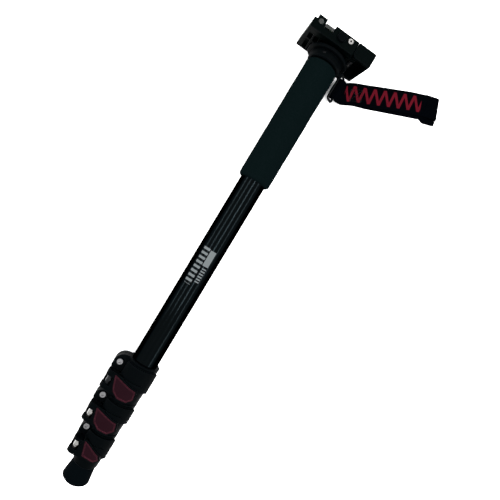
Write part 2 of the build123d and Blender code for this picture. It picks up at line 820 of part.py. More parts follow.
# Flip locks
for index in range(3):
    number = index + 1
    base = lock_bases[index]
    top = lock_tops[index]
    clamp_tube = tube_radii[index]
    sliding_tube = tube_radii[index + 1]
    base_radius = collar_base_radii[index]
    top_radius = collar_top_radii[index]
    lower_half_height = lower_half_heights[index]
    split_station = base + lower_half_height
    clamp_base = clamp_bases[index]
    radius_there = base_radius + (top_radius - base_radius) * lower_half_height / lock_heights[index]
    lever_inner = radius_there + lever_under_gap
    lever_outer = lever_inner + lever_thickness
    pivot_y = pivot_reaches[index]
    clear_span = radius_there + knuckle_radius + cam_throw + 2 * moving_gap
    clear_rise = sqrt(max(clear_span ** 2 - pivot_y ** 2, 0))
    pivot_z = max(pivot_rise, clear_rise)
    lug_face = pivot_z - knuckle_radius - cam_throw - moving_gap
    ear_reach = ear_reaches[index]
    ear_height = top - clamp_base - ear_top_gap
    screw_x = base + clamp_screw_heights[index]
    screw_y = clamp_screw_reaches[index]
    bolt_x = base + cam_bolt_heights[index]
    knuckle_low = base + knuckle_bases[index]
    knuckle_high = base + knuckle_tops[index]

    # The lever's outer side runs along the tangent from its arc to its knuckle
    knuckle = (pivot_y, pivot_z - cam_throw)
    knuckle_span = sqrt(knuckle[0] ** 2 + knuckle[1] ** 2)
    knuckle_turn = degrees(atan2(knuckle[0], knuckle[1]))
    lean = knuckle_turn - degrees(acos((lever_outer - knuckle_radius) / knuckle_span))
    insert_plan = [
        (base + lever_height * height, pivot_y * reach) for height, reach in insert_shares[index]
    ]
    knuckle_plan = [
        (knuckle_low, pivot_y * knuckle_edge_share), (knuckle_low, overrun),
        (knuckle_high, overrun), (knuckle_high, pivot_y * knuckle_edge_share),
    ]
    shield_cut_plan = [
        (base, pivot_y * knuckle_edge_share), (base, overrun),
        (knuckle_high + shield_edge_gap, overrun),
        (knuckle_high + shield_edge_gap, pivot_y * knuckle_edge_share),
    ]

    with BuildPart() as collar:
        # Raised front shield, cut along the lever's upper edge
        with BuildSketch(Plane.YZ.offset(base + shield_base)):
            with BuildLine():
                left_out = polar(lever_outer, shield_left_angle)
                left_in = polar(clamp_tube, shield_left_angle)
                right_out = polar(lever_outer, -shield_right_angle)
                right_in = polar(clamp_tube, -shield_right_angle)
                ThreePointArc(left_out, polar(lever_outer, 0), right_out)
                Line(right_out, right_in)
                ThreePointArc(right_in, polar(clamp_tube, 0), left_in)
                Line(left_in, left_out)
            make_face()
        extrude(amount=top - shield_top_drop - base - shield_base)
        plan_slab(insert_plan, lever_margin + shield_edge_gap, Mode.SUBTRACT, shield_cut_plan)
        # Tapered body
        turned([
            (base, 0), (base, base_radius - collar_edge), (base + collar_edge, base_radius),
            (top - collar_edge, top_radius), (top, top_radius - collar_edge), (top, 0),
        ])
        # Upper clamp ear
        with BuildSketch(Plane.XY.offset(-ear_half_thickness)):
            with BuildLine():
                Polyline(
                    (clamp_base, 0), (clamp_base, ear_reach), (clamp_base + ear_height, ear_reach),
                    (clamp_base + ear_height, 0), close=True,
                )
            make_face()
            top_corner = vertices().group_by(Axis.Y)[-1].sort_by(Axis.X)[-1]
            fillet(top_corner, radius=ear_corner_share * ear_height)
            base_corner = vertices().group_by(Axis.X)[0].sort_by(Axis.Y)[-1]
            fillet(base_corner, radius=ear_base_corner)
        extrude(amount=2 * ear_half_thickness)
        # Lower lugs, closed by the cam
        with BuildSketch(Plane.XY.offset(-lug_half_thickness)):
            with BuildLine():
                Polyline(
                    (knuckle_low + lug_inset, 0), (knuckle_low + lug_inset, pivot_y + lug_margin),
                    (knuckle_high - lug_inset, pivot_y + lug_margin), (knuckle_high - lug_inset, 0),
                    close=True,
                )
            make_face()
            fillet(vertices().group_by(Axis.Y)[-1], radius=lug_corner)
        extrude(amount=lug_half_thickness + lug_face)
        # Bore, split and relief slit
        tube_bore(clamp_tube + bore_fit, base, top)
        block((base, top), (0, overrun), (-split_width / 2, split_width / 2), Mode.SUBTRACT)
        block((split_station, clamp_base), (-relief_bridge, overrun), (-overrun, overrun), Mode.SUBTRACT)
        # Screw and bolt holes
        upright_pin(
            screw_x, screw_y, clamp_shank_radius + hole_fit, -ear_half_thickness, ear_half_thickness,
            Mode.SUBTRACT,
        )
        upright_pin(
            screw_x, screw_y, clamp_head_radius + hole_fit, ear_half_thickness - clamp_head_sink,
            ear_half_thickness + overrun, Mode.SUBTRACT,
        )
        upright_pin(bolt_x, pivot_y, cam_bolt_radius + hole_fit, -lug_half_thickness, lug_face, Mode.SUBTRACT)
    write(collar, f"lock_{number}_collar")

    with BuildPart() as liner:
        tube_bore(clamp_tube, base + collar_edge, split_station - collar_edge, Mode.ADD)
        tube_bore(sliding_tube + moving_gap, base, top)
        block((base, top), (0, overrun), (-liner_slot / 2, liner_slot / 2), Mode.SUBTRACT)
    write(liner, f"lock_{number}_liner")

    with BuildPart() as clamp_screw:
        head_seat = ear_half_thickness - clamp_head_sink + seat_fit
        screw_end = -ear_half_thickness - nut_height - clamp_head_sink
        upright_pin(screw_x, screw_y, clamp_shank_radius, screw_end, head_seat)
        upright_pin(screw_x, screw_y, clamp_head_radius, head_seat, head_seat + clamp_head_height)
        with BuildSketch(Plane.XY.offset(head_seat + clamp_head_height)):
            with Locations((screw_x, screw_y)):
                RegularPolygon(radius=clamp_head_radius / 2, side_count=hexagon_sides)
        extrude(amount=-clamp_head_height / 2, mode=Mode.SUBTRACT)
    write(clamp_screw, f"lock_{number}_clamp_screw")

    with BuildPart() as clamp_nut:
        with BuildSketch(Plane.XY.offset(-ear_half_thickness - seat_fit)):
            with Locations((screw_x, screw_y)):
                RegularPolygon(radius=nut_radius, side_count=hexagon_sides)
                Circle(clamp_shank_radius + seat_fit, mode=Mode.SUBTRACT)
        extrude(amount=-nut_height)
    write(clamp_nut, f"lock_{number}_clamp_nut")

    with BuildPart() as cam_bolt:
        nut_face = -lug_half_thickness - seat_fit
        bolt_end = pivot_z + sqrt(barrel_radius**2 - cam_bolt_radius**2)
        upright_pin(bolt_x, pivot_y, cam_bolt_radius, nut_face - nut_height - clamp_head_sink, bolt_end)
        with BuildSketch(Plane.XY.offset(nut_face)):
            with Locations((bolt_x, pivot_y)):
                RegularPolygon(radius=nut_radius, side_count=hexagon_sides)
        extrude(amount=-nut_height)
    write(cam_bolt, f"lock_{number}_cam_bolt")

    barrel_low = knuckle_low + knuckle_end_wall
    barrel_high = knuckle_high - knuckle_end_wall
    with BuildPart() as barrel:
        axial_pin(pivot_y, pivot_z, barrel_radius, barrel_low + moving_gap, barrel_high - moving_gap)
        upright_pin(
            bolt_x, pivot_y, cam_bolt_radius + seat_fit, pivot_z - 2 * barrel_radius,
            pivot_z + 2 * barrel_radius, Mode.SUBTRACT,
        )
    write(barrel, f"lock_{number}_barrel")

    # Recess cut in the lever, then the insert that fills it
    with BuildPart() as recess:
        lever_layer(lever_outer, knuckle, lean, -insert_depth, overrun, base)
        plan_slab(insert_plan, seat_fit, Mode.INTERSECT)

    with BuildPart() as sunk_face:
        lever_layer(lever_outer, knuckle, lean, insert_proud - insert_sink, overrun, base)
        plan_slab(insert_plan, -insert_rim, Mode.INTERSECT)

    with BuildPart() as insert:
        lever_layer(lever_outer, knuckle, lean, seat_fit - insert_depth, insert_proud, base)
        plan_slab(insert_plan, 0, Mode.INTERSECT)
        add(sunk_face.part, mode=Mode.SUBTRACT)
    write(insert, f"lock_{number}_insert")

    # Lever: curved paddle and eccentric knuckle, trimmed to its plan
    with BuildPart() as lever:
        middle = (lean - lever_sweep_angle) / 2
        inner_start = polar(lever_inner, lean + lever_sweep_angle / 2)
        inner_end = polar(lever_inner, -lever_sweep_angle)
        knuckle_tangent = beside(knuckle, knuckle_radius, lean)
        knuckle_middle = (lean + 3 * quarter_turn) / 2
        knuckle_side = beside(knuckle, knuckle_radius, -quarter_turn)
        with BuildSketch(Plane.YZ.offset(base)):
            with BuildLine():
                ThreePointArc(
                    polar(lever_outer, -lever_sweep_angle),
                    polar(lever_outer, middle),
                    polar(lever_outer, lean),
                )
                Line(polar(lever_outer, lean), knuckle_tangent)
                ThreePointArc(
                    knuckle_tangent, beside(knuckle, knuckle_radius, knuckle_middle), knuckle_side
                )
                Line(knuckle_side, inner_start)
                ThreePointArc(inner_start, polar(lever_inner, 0), inner_end)
                Line(inner_end, polar(lever_outer, -lever_sweep_angle))
            make_face()
        extrude(amount=2 * lever_height)
        plan_slab(insert_plan, lever_margin, Mode.INTERSECT, knuckle_plan)
        # Slot that lets the lever swing past the cam bolt
        block(
            (bolt_x - cam_slot_width / 2, bolt_x + cam_slot_width / 2),
            (pivot_y - barrel_radius - moving_gap, overrun),
            (0, overrun),
            Mode.SUBTRACT,
        )
        axial_pin(pivot_y, pivot_z, barrel_radius + bore_fit, barrel_low, barrel_high, Mode.SUBTRACT)
        add(recess.part, mode=Mode.SUBTRACT)
    write(lever, f"lock_{number}_lever")
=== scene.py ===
"""Looks of a folded camera monopod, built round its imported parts.

Lengths are in metres, but for the strap's, which are in millimetres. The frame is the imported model's: +X runs
up the tube to the camera seat, +Z is up off the surface that the monopod lies on, and the origin is where the
tube's axis meets the camera seat.
"""

import json
import logging
import math
from dataclasses import dataclass, field
from enum import Enum
from typing import Any, Sequence

import bpy
import numpy as np
from mathutils import Matrix, Vector

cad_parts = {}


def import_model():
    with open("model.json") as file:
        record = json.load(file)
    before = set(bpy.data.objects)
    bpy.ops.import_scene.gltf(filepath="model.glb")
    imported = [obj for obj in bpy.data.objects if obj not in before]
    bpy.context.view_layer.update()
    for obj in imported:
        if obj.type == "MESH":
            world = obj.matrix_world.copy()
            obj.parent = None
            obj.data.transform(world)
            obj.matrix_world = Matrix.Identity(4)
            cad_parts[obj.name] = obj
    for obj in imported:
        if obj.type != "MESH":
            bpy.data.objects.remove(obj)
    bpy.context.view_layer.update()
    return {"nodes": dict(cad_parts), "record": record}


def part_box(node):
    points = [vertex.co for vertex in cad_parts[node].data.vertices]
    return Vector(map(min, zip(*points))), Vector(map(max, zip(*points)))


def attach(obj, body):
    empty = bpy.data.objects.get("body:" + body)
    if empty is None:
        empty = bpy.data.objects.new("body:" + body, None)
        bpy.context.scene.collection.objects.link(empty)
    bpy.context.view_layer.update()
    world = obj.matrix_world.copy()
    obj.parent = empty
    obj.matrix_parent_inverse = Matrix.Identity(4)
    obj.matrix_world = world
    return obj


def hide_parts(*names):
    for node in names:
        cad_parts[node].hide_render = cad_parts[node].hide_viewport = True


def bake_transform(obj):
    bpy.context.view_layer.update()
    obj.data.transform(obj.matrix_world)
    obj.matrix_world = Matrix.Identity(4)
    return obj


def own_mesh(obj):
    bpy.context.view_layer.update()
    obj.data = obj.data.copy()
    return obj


LOG = logging.getLogger("monopod")
MM = 0.001
# The strap's UV map holds millimetres divided by this
MM_PER_UV = 100.0


class Grain(Enum):
    """How a surface was made, which decides the pattern that its colour, gloss and bump follow."""

    MOULDED = "moulded against a spark-eroded tool"
    DRAWN = "drawn along the tube"
    TURNED = "turned about the tube's axis"
    FOAMED = "cut foam with open cells"
    RIBBED = "fine ribs across the sheet"


def linear(hex_colour: str) -> tuple[float, float, float, float]:
    """Turns an sRGB hex colour to linear light.

    Args:
        hex_colour: six hex digits with a leading hash sign.

    Returns:
        Red, green, blue and an opaque alpha, in linear light.
    """
    shares = np.array([int(hex_colour[i : i + 2], 16) for i in (1, 3, 5)]) / 255
    light = np.where(shares <= 0.04045, shares / 12.92, ((shares + 0.055) / 1.055) ** 2.4)
    return (*(float(value) for value in light), 1.0)


def add_node(
    tree: bpy.types.NodeTree, kind: str, inputs: dict | None = None, **settings: Any
) -> bpy.types.Node:
    """Adds one node with its settings, values and links.

    Args:
        tree: the material's node tree.
        kind: the node's Blender type, without the leading ShaderNode.
        inputs: for each input, by name or number, a plain value or the output that feeds it.
        settings: the node's own properties.

    Returns:
        The new node.
    """
    node = tree.nodes.new("ShaderNode" + kind)
    for name, value in settings.items():
        setattr(node, name, value)
    for key, value in (inputs or {}).items():
        if isinstance(value, bpy.types.NodeSocket):
            tree.links.new(value, node.inputs[key])
        else:
            node.inputs[key].default_value = value
    return node


@dataclass(frozen=True)
class Finish:
    """A plain finish: two close colours mottled by the surface's grain, which also moves gloss and bump."""

    name: str
    colour: str
    deep_colour: str
    roughness: float
    roughness_spread: float = 0.08
    metallic: float = 0.0
    ior: float = 1.5
    specular: float = 0.5
    edge_tint: str = "#ffffff"
    transmission: float = 0.0
    grain: Grain = Grain.MOULDED
    pitch: float = 0.8 * MM
    depth: float = 0.03 * MM
    edge: float = 0.35 * MM
    # Paler tone painted on corners as a highlight; empty for none
    edge_highlight_colour: str = ""

    def pattern(self, tree: bpy.types.NodeTree) -> bpy.types.NodeSocket:
        """Lays the grain on Object coordinates, with its pitch as the noise's cell size.

        Args:
            tree: the material's node tree.

        Returns:
            A value from 0 to 1 over the surface.
        """
        place = add_node(tree, "TexCoord").outputs["Object"]
        per_metre = 1 / self.pitch
        stretch = {
            Grain.DRAWN: (0.02, 1.0, 1.0),
            Grain.TURNED: (1.0, 0.04, 0.04),
            Grain.RIBBED: (1.0, 0.05, 1.0),
        }.get(self.grain, (1.0, 1.0, 1.0))
        scaled = add_node(
            tree, "Mapping", {"Vector": place, "Scale": tuple(per_metre * share for share in stretch)}
        ).outputs[0]
        if self.grain is Grain.FOAMED:
            cells = add_node(tree, "TexVoronoi", {"Vector": scaled, "Scale": 1.0, "Randomness": 1.0})
            return cells.outputs["Distance"]
        noise = add_node(tree, "TexNoise", {"Vector": scaled, "Scale": 1.0, "Detail": 3.0, "Roughness": 0.6})
        return noise.outputs[0]

    def surface(self, tree: bpy.types.NodeTree, grain: bpy.types.NodeSocket) -> bpy.types.NodeSocket:
        """Colours the surface between the two tones, with a paler tone painted on corners as a highlight.

        Args:
            tree: the material's node tree.
            grain: the grain's value.

        Returns:
            The colour's output.
        """
        mixed = add_node(
            tree,
            "Mix",
            {"Factor": grain, "A": linear(self.deep_colour), "B": linear(self.colour)},
            data_type="RGBA",
        ).outputs["Result"]
        if not self.edge_highlight_colour:
            return mixed
        # Painted highlight: a paler tone on corners, where the rounded normal turns from the flat one, broken up
        # by the grain
        rounded = add_node(tree, "Bevel", {"Radius": self.edge * 1.6}, samples=4).outputs[0]
        flat = add_node(tree, "NewGeometry").outputs["Normal"]
        along = add_node(tree, "VectorMath", {0: rounded, 1: flat}, operation="DOT_PRODUCT").outputs["Value"]
        edge_highlight = add_node(
            tree,
            "MapRange",
            {"Value": along, "From Min": 0.995, "From Max": 0.86, "To Min": 0.0, "To Max": 0.55},
        ).outputs[0]
        patchy_highlight = add_node(tree, "Math", {0: edge_highlight, 1: grain}, operation="MULTIPLY").outputs[0]
        return add_node(
            tree, "Mix", {"Factor": patchy_highlight, "A": mixed, "B": linear(self.edge_highlight_colour)}, data_type="RGBA"
        ).outputs["Result"]

    def metal(self, tree: bpy.types.NodeTree) -> float | bpy.types.NodeSocket:
        """Says how far the surface is bare metal.

        Args:
            tree: the material's node tree.

        Returns:
            One value, or the output that varies it over the surface.
        """
        return self.metallic

    def make(self) -> bpy.types.Material:
        """Builds the material's nodes.

        Returns:
            The material.
        """
        material = bpy.data.materials.new(self.name)
        material.use_nodes = True
        tree = material.node_tree
        tree.nodes.clear()
        grain = self.pattern(tree)
        gloss = add_node(
            tree,
            "MapRange",
            {
                "Value": grain,
                "From Min": 0.25,
                "From Max": 0.75,
                "To Min": max(self.roughness - self.roughness_spread, 0.02),
                "To Max": min(self.roughness + self.roughness_spread, 1.0),
            },
        ).outputs[0]
        bump_inputs = {"Height": grain, "Strength": 1.0, "Distance": self.depth}
        if self.edge > 0:
            bump_inputs["Normal"] = add_node(tree, "Bevel", {"Radius": self.edge}, samples=4).outputs[0]
        bump = add_node(tree, "Bump", bump_inputs).outputs[0]
        shader = add_node(
            tree,
            "BsdfPrincipled",
            {
                "Base Color": self.surface(tree, grain),
                "Roughness": gloss,
                "Metallic": self.metal(tree),
                "IOR": self.ior,
                "Specular IOR Level": self.specular,
                "Specular Tint": linear(self.edge_tint),
                "Transmission Weight": self.transmission,
                "Normal": bump,
            },
        )
        add_node(tree, "OutputMaterial", {"Surface": shader.outputs[0]})
        return material


@dataclass(frozen=True)
class PrintMark:
    """One printed patch: its span along the tube, its span of angles round it, and its ticks' pitch."""

    start: float
    end: float
    low_angle: float
    high_angle: float
    tick_pitch: float = 0.0


@dataclass(frozen=True)
class PrintedTube(Finish):
    """Black anodised tube with a plain scale printed in grey where it faces the viewer."""

    marks: tuple[PrintMark, ...] = ()
    ink: str = "#484c4d"

    def patch(
        self, tree: bpy.types.NodeTree, axes: Any, turn: bpy.types.NodeSocket, mark: PrintMark
    ) -> bpy.types.NodeSocket:
        """Draws one mark: inside its span along the tube and its angles, whole or cut up into ticks.

        Args:
            tree: the material's node tree.
            axes: the outputs of the object's own X, Y and Z.
            turn: the angle round the tube, from straight up.
            mark: the mark to draw.

        Returns:
            One on the ink and zero off it.
        """
        spans = (
            (turn, math.radians(mark.low_angle), math.radians(mark.high_angle)),
            (axes["X"], mark.start, mark.end),
        )
        around, along = (
            add_node(tree, "Math", {0: value, 1: (low + high) / 2, 2: (high - low) / 2}, operation="COMPARE")
            for value, low, high in spans
        )
        inside = add_node(
            tree, "Math", {0: around.outputs[0], 1: along.outputs[0]}, operation="MULTIPLY"
        ).outputs[0]
        if not mark.tick_pitch:
            return inside
        steps = add_node(tree, "Math", {0: axes["X"], 1: mark.tick_pitch}, operation="DIVIDE").outputs[0]
        part = add_node(tree, "Math", {0: steps}, operation="FRACT").outputs[0]
        tick = add_node(tree, "Math", {0: part, 1: 0.5, 2: 0.25}, operation="COMPARE").outputs[0]
        return add_node(tree, "Math", {0: inside, 1: tick}, operation="MULTIPLY").outputs[0]

    def inked(self, tree: bpy.types.NodeTree) -> bpy.types.NodeSocket:
        """Joins all the marks.

        Args:
            tree: the material's node tree.

        Returns:
            One on any mark's ink and zero on bare metal.
        """
        axes = add_node(
            tree, "SeparateXYZ", {"Vector": add_node(tree, "TexCoord").outputs["Object"]}
        ).outputs
        turn = add_node(tree, "Math", {0: axes["Y"], 1: axes["Z"]}, operation="ARCTAN2").outputs[0]
        first, *others = (self.patch(tree, axes, turn, mark) for mark in self.marks)
        for other in others:
            first = add_node(tree, "Math", {0: first, 1: other}, operation="MAXIMUM").outputs[0]
        return first

    def metal(self, tree: bpy.types.NodeTree) -> bpy.types.NodeSocket:
        """Takes the metal away under the ink.

        Args:
            tree: the material's node tree.

        Returns:
            Zero on the ink and one off it.
        """
        return add_node(tree, "Math", {0: 1.0, 1: self.inked(tree)}, operation="SUBTRACT").outputs[0]

    def surface(self, tree: bpy.types.NodeTree, grain: bpy.types.NodeSocket) -> bpy.types.NodeSocket:
        """Mottles the anodising and lays the marks over it.

        Args:
            tree: the material's node tree.
            grain: the grain's value.

        Returns:
            The colour's output.
        """
        bare = Finish.surface(self, tree, grain)
        return add_node(
            tree, "Mix", {"Factor": self.inked(tree), "A": bare, "B": linear(self.ink)}, data_type="RGBA"
        ).outputs["Result"]


@dataclass(frozen=True)
class PatternedWebbing(Finish):
    """Woven polyester webbing: rib rows along it, and a bold red zigzag woven into the middle of its outer
    face."""

    rib: float = 1.3
    pattern_start: float = 16.0
    pattern_end: float = 111.0
    zigzag_pitch: float = 12.0
    zigzag_half: float = 8.6
    stroke_half: float = 4.6
    red: str = "#430b14"

    def place(self, tree: bpy.types.NodeTree) -> tuple[bpy.types.NodeSocket, bpy.types.NodeSocket]:
        """Reads the place on the band off its UV map.

        Args:
            tree: the material's node tree.

        Returns:
            The millimetres across the band, and those along it.
        """
        axes = add_node(
            tree, "SeparateXYZ", {"Vector": add_node(tree, "UVMap", uv_map="band").outputs[0]}
        ).outputs
        across, along = (
            add_node(tree, "Math", {0: axes[name], 1: MM_PER_UV}, operation="MULTIPLY").outputs[0]
            for name in ("X", "Y")
        )
        return across, along

    def pattern(self, tree: bpy.types.NodeTree) -> bpy.types.NodeSocket:
        """Weaves rows: the sine of the place along the band, shifted by the place across it, gives a twill.

        Args:
            tree: the material's node tree.

        Returns:
            A value from 0 to 1 over the surface.
        """
        across, along = self.place(tree)
        folded = add_node(tree, "Math", {0: across, 1: self.rib * 2}, operation="PINGPONG").outputs[0]
        slanted = add_node(tree, "Math", {0: along, 1: folded}, operation="ADD").outputs[0]
        turns = add_node(tree, "Math", {0: slanted, 1: 2 * math.pi / self.rib}, operation="MULTIPLY").outputs[0]
        wave = add_node(tree, "Math", {0: turns}, operation="SINE").outputs[0]
        return add_node(tree, "MapRange", {"Value": wave, "From Min": -1.0, "From Max": 1.0}).outputs[0]

    def surface(self, tree: bpy.types.NodeTree, grain: bpy.types.NodeSocket) -> bpy.types.NodeSocket:
        """Lays the zigzag: a band where the folded place along the webbing meets the place across it, kept
        to the outer face between the pattern's two ends.

        Args:
            tree: the material's node tree.
            grain: the weave's value.

        Returns:
            The colour's output.
        """
        black = Finish.surface(self, tree, grain)
        across, along = self.place(tree)
        half = self.zigzag_pitch / 2
        slope = 2 * self.zigzag_half / half
        folded = add_node(tree, "Math", {0: along, 1: half}, operation="PINGPONG").outputs[0]
        zig = add_node(
            tree, "Math", {0: folded, 1: slope, 2: -self.zigzag_half}, operation="MULTIPLY_ADD"
        ).outputs[0]
        stroke = add_node(
            tree, "Math", {0: across, 1: zig, 2: self.stroke_half}, operation="COMPARE"
        ).outputs[0]
        face = add_node(
            tree, "Math", {0: across, 1: 0.0, 2: self.zigzag_half}, operation="COMPARE"
        ).outputs[0]
        length = add_node(
            tree,
            "Math",
            {
                0: along,
                1: (self.pattern_start + self.pattern_end) / 2,
                2: (self.pattern_end - self.pattern_start) / 2,
            },
            operation="COMPARE",
        ).outputs[0]
        shown = add_node(tree, "Math", {0: face, 1: length}, operation="MULTIPLY").outputs[0]
        woven = add_node(tree, "Math", {0: stroke, 1: shown}, operation="MULTIPLY").outputs[0]
        thread = add_node(tree, "MapRange", {"Value": grain, "To Min": 0.45, "To Max": 1.0}).outputs[0]
        weight = add_node(tree, "Math", {0: woven, 1: thread}, operation="MULTIPLY").outputs[0]
        return add_node(
            tree, "Mix", {"Factor": weight, "A": black, "B": linear(self.red)}, data_type="RGBA"
        ).outputs["Result"]


# Aluminium tube, drawn and then black anodised: long faint lines and streaks of light along it
TUBE = PrintedTube(
    "black_anodised_aluminium_tube", "#070a0b", "#040607", 0.13, 0.03, 1.0,
    specular=0.1, edge_tint="#000000",
    grain=Grain.DRAWN, pitch=0.9 * MM, depth=0.004 * MM, edge=0.0,
    marks=(
        PrintMark(-0.298, -0.256, 10.0, 41.0, 5.2 * MM),
        PrintMark(-0.293, -0.277, -19.0, 0.0, 3.0 * MM),
        PrintMark(-0.2745, -0.257, -20.0, 6.0),
    ),
)
# Inner tubes carry the same anodising without print
INNER_TUBE = Finish(
    "black_anodised_aluminium_inner_tube", "#070a0b", "#040607", 0.16, 0.03, 1.0, edge_tint="#000000",
    grain=Grain.DRAWN, pitch=0.9 * MM, depth=0.006 * MM, edge=0.0,
)
# Glass-filled nylon of the collars and levers: fine spark-eroded grain, a dull sheen, corners greyed as a painted
# highlight
LOCK_NYLON = Finish(
    "black_moulded_nylon", "#020304", "#000101", 0.42, 0.08, ior=1.53, specular=0.006,
    pitch=0.7 * MM, depth=0.02 * MM, edge_highlight_colour="#12171a",
)
# ABS of the head: a little smoother than the locks, with the same painted highlight on its corners
HEAD_ABS = Finish(
    "black_moulded_abs", "#010303", "#000101", 0.36, 0.08, ior=1.54, specular=0.006,
    pitch=0.9 * MM, depth=0.018 * MM, edge_highlight_colour="#111619",
)
# NBR foam of the grip: matt, open cut cells; drawn coarser than the real 0.3 mm cells so that they show
GRIP_FOAM = Finish(
    "nitrile_foam", "#040809", "#020606", 0.95, 0.04, ior=1.45, specular=0.0,
    grain=Grain.FOAMED, pitch=1.1 * MM, depth=0.12 * MM, edge=0.0,
)
# Rubber of the foot: matt, its corners paler as a painted highlight
FOOT_RUBBER = Finish(
    "natural_rubber", "#020405", "#010203", 0.7, 0.1, ior=1.52, specular=0.002,
    pitch=1.2 * MM, depth=0.03 * MM, edge_highlight_colour="#171b1d",
)
# Rubber of the camera pad: fine ribs across
PAD_RUBBER = Finish(
    "ribbed_pad_rubber", "#0b0c0d", "#050506", 0.7, 0.08, ior=1.52, specular=0.1, grain=Grain.RIBBED,
    pitch=0.8 * MM, depth=0.05 * MM,
)
# Nickel-plated steel: turned lines, bright
BRIGHT_STEEL = Finish(
    "nickel_plated_steel", "#8c8b89", "#6a6967", 0.2, 0.07, 1.0, grain=Grain.TURNED,
    pitch=0.5 * MM, depth=0.006 * MM, edge=0.12 * MM,
)
# The clamp screws carry a duller plating than the barrels
DULL_STEEL = Finish(
    "dull_plated_steel", "#747475", "#4e4e50", 0.3, 0.08, 1.0, grain=Grain.TURNED,
    pitch=0.5 * MM, depth=0.006 * MM, edge=0.12 * MM,
)
# Black oxide steel: turned lines, dark, with corners paler as a painted highlight
BLACK_STEEL = Finish(
    "black_oxide_steel", "#1b1c1e", "#0e0f10", 0.36, 0.08, 0.9, grain=Grain.TURNED,
    pitch=0.5 * MM, depth=0.006 * MM, edge=0.12 * MM, edge_highlight_colour="#2c2e30",
)
# Black coating of the strap's wire ring: a smooth dull film
COATED_WIRE = Finish(
    "black_coated_steel_wire", "#020304", "#000101", 0.4, 0.06, specular=0.02,
    pitch=0.6 * MM, depth=0.005 * MM, edge=0.0,
)
# Acetal of the guide sleeves and liners: waxy
GUIDE_ACETAL = Finish(
    "grey_acetal", "#26292b", "#1b1d1f", 0.42, 0.06, ior=1.48, specular=0.2,
    pitch=1.2 * MM, depth=0.01 * MM,
)
# Acrylic tube of the level vials, over spirit tinted yellow green
VIAL_ACRYLIC = Finish(
    "clear_acrylic", "#39463d", "#303c34", 0.05, 0.02, ior=1.49, specular=0.04, transmission=0.95,
    pitch=3.0 * MM, depth=0.001 * MM, edge=0.15 * MM,
)
VIAL_SPIRIT = Finish(
    "tinted_level_spirit", "#0e2118", "#0a1710", 0.12, 0.03, ior=1.36, specular=0.02, transmission=0.35,
    pitch=4.0 * MM, depth=0.001 * MM, edge=0.0,
)
BUBBLE_AIR = Finish(
    "level_bubble", "#1c261f", "#151d18", 0.08, 0.02, ior=1.2, specular=0.05,
    pitch=3.0 * MM, depth=0.001 * MM, edge=0.0,
)
# Red rubber of the levers' inserts, whose raised rim is painted paler than the field as a highlight
INSERT_RUBBER = Finish(
    "red_moulded_rubber", "#120408", "#0c0205", 0.5, 0.08, ior=1.52, specular=0.015,
    pitch=0.8 * MM, depth=0.03 * MM, edge=0.55 * MM, edge_highlight_colour="#5e2b36",
)
# Polyester webbing: dull thread
WEBBING = PatternedWebbing(
    "woven_polyester_webbing", "#020304", "#000001", 0.85, 0.1, ior=1.5, specular=0.0,
    depth=0.14 * MM, edge=0.0,
)
# Bonded nylon sewing thread
THREAD = Finish(
    "bonded_nylon_thread", "#08090b", "#030405", 0.55, 0.1, ior=1.5, specular=0.05,
    pitch=0.4 * MM, depth=0.03 * MM, edge=0.0,
)

SLOT_FINISHES: dict[str, Finish] = {
    "anodised_tube": INNER_TUBE,
    "guide_plastic": GUIDE_ACETAL,
    "foot_rubber": FOOT_RUBBER,
    "foam": GRIP_FOAM,
    "black_plastic": LOCK_NYLON,
    "head_plastic": HEAD_ABS,
    "black_steel": BLACK_STEEL,
    "bright_steel": BRIGHT_STEEL,
    "vial": VIAL_ACRYLIC,
    "pad_rubber": PAD_RUBBER,
    "webbing": WEBBING,
    "red_insert": INSERT_RUBBER,
}


def grid_mesh(
    name: str, points: np.ndarray, close_rows: bool, close_columns: bool, uv: np.ndarray | None = None
) -> bpy.types.Object:
    """Skins a grid of points with four-sided faces, wrapping round where a direction is closed.

    Args:
        name: the piece's name.
        points: rows by columns by three, in metres, with columns running anticlockwise seen from outside.
        close_rows: whether the last row joins the first.
        close_columns: whether the last column joins the first.
        uv: rows plus one by columns plus one by two, the map's values at the grid's corners.

    Returns:
        The new object.
    """
    rows, columns = points.shape[:2]
    row_steps = rows if close_rows else rows - 1
    column_steps = columns if close_columns else columns - 1
    row, column = np.meshgrid(np.arange(row_steps), np.arange(column_steps), indexing="ij")
    next_row, next_column = (row + 1) % rows, (column + 1) % columns
    corners = np.stack(
        [
            row * columns + column,
            row * columns + next_column,
            next_row * columns + next_column,
            next_row * columns + column,
        ],
        axis=-1,
    ).reshape(-1, 4)
    mesh = bpy.data.meshes.new(name)
    mesh.vertices.add(rows * columns)
    mesh.vertices.foreach_set("co", points.astype(np.float32).ravel())
    mesh.loops.add(corners.size)
    mesh.loops.foreach_set("vertex_index", corners.astype(np.int32).ravel())
    mesh.polygons.add(len(corners))
    mesh.polygons.foreach_set("loop_start", np.arange(0, corners.size, 4, dtype=np.int32))
    mesh.polygons.foreach_set("use_smooth", np.ones(len(corners), bool))
    mesh.update(calc_edges=True)
    if uv is not None:
        layer = mesh.uv_layers.new(name="band")
        square = np.stack(
            [uv[row, column], uv[row, column + 1], uv[row + 1, column + 1], uv[row + 1, column]], axis=-2
        )
        layer.data.foreach_set("uv", square.astype(np.float32).ravel())
    mesh.validate()
    made = bpy.data.objects.new(name, mesh)
    bpy.context.scene.collection.objects.link(made)
    return made


